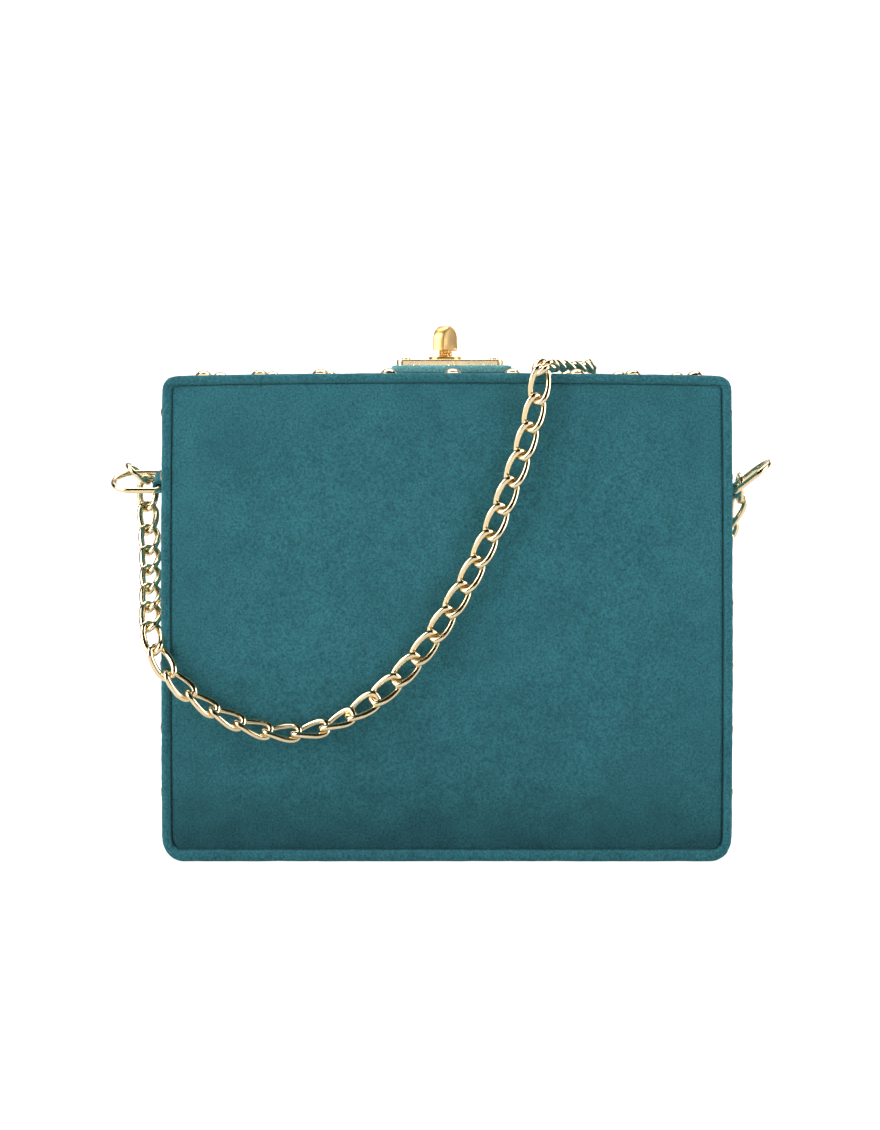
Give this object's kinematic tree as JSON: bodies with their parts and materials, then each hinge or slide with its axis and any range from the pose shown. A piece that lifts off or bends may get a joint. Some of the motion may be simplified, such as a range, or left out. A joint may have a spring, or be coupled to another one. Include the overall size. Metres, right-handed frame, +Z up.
{
  "type": "clutch purse",
  "caption": "Rigid velvet box purse with a front half hinged at the base, dome studs, a turn-lock clasp on a top tab and a curb chain between side D-rings.",
  "frame": {"origin": "centre of the base on the surface it stands on", "axes": "+X along the width, -Y out of the front face, +Z up"},
  "size_m": [0.2339, 0.0845, 0.1789],
  "materials": {
    "velvet": "short-pile cotton velvet, peacock teal",
    "gold_metal": "polished light gold plate",
    "steel": "plain nickel-plated steel",
    "board": "grey-brown bookbinder's board",
    "lining_cloth": "dark teal woven lining"
  },
  "bodies": {
    "rear_half": {"rear_rim_cover": "velvet", "rear_face_panel": "velvet", "base_cover": "velvet", "left_ring_tab": "velvet", "right_ring_tab": "velvet", "rear_studs": "gold_metal", "chain": "gold_metal", "left_ring_rivets": "gold_metal", "right_ring_rivets": "gold_metal", "hinge_leaf_base": "steel", "hinge_pin": "steel", "hinge_rivets_base": "steel", "keeper": "steel", "keeper_rivets": "steel", "rear_case_board": "board", "base_board": "board", "rear_lining": "lining_cloth", "base_lining": "lining_cloth", "inner_pocket": "lining_cloth", "left_gusset": "lining_cloth", "right_gusset": "lining_cloth"},
    "front_half": {"front_rim_cover": "velvet", "front_case_board": "board", "front_face_panel": "velvet", "front_lining": "lining_cloth", "front_studs": "gold_metal", "hinge_leaf_front": "steel", "hinge_rivets_front": "steel", "closure_tab": "velvet", "tab_rivets": "gold_metal", "clasp_plate": "gold_metal", "clasp_screws": "gold_metal", "clasp_eyelet": "gold_metal"},
    "clasp": {"turn_knob": "gold_metal", "knob_stem": "steel", "cam_arm": "steel", "cam_nut": "steel"},
    "left_ring": {"left_d_ring": "gold_metal", "left_connector_ring": "gold_metal"},
    "right_ring": {"right_d_ring": "gold_metal", "right_connector_ring": "gold_metal"}
  },
  "joints": [
    {"name": "case_hinge", "type": "hinge", "parent": "rear_half", "child": "front_half", "pos_m": [0, -0.0329, 0.0023], "axis": [1, 0, 0], "range_deg": [0, 20], "deforming": ["left_gusset", "right_gusset", "chain"]},
    {"name": "clasp_turn", "type": "hinge", "parent": "front_half", "child": "clasp", "pos_m": [-0.0004, 0.006, 0.165], "axis": [0, 0, 1], "range_deg": [-60, 30]},
    {"name": "left_ring_swing", "type": "hinge", "parent": "rear_half", "child": "left_ring", "pos_m": [-0.1012, 0.009, 0.124], "axis": [0, 0.9135, 0.4067], "range_deg": [-12, 12]},
    {"name": "right_ring_swing", "type": "hinge", "parent": "rear_half", "child": "right_ring", "pos_m": [0.1012, 0.009, 0.1208], "axis": [0, 1, 0], "range_deg": [-12, 12]}
  ]
}
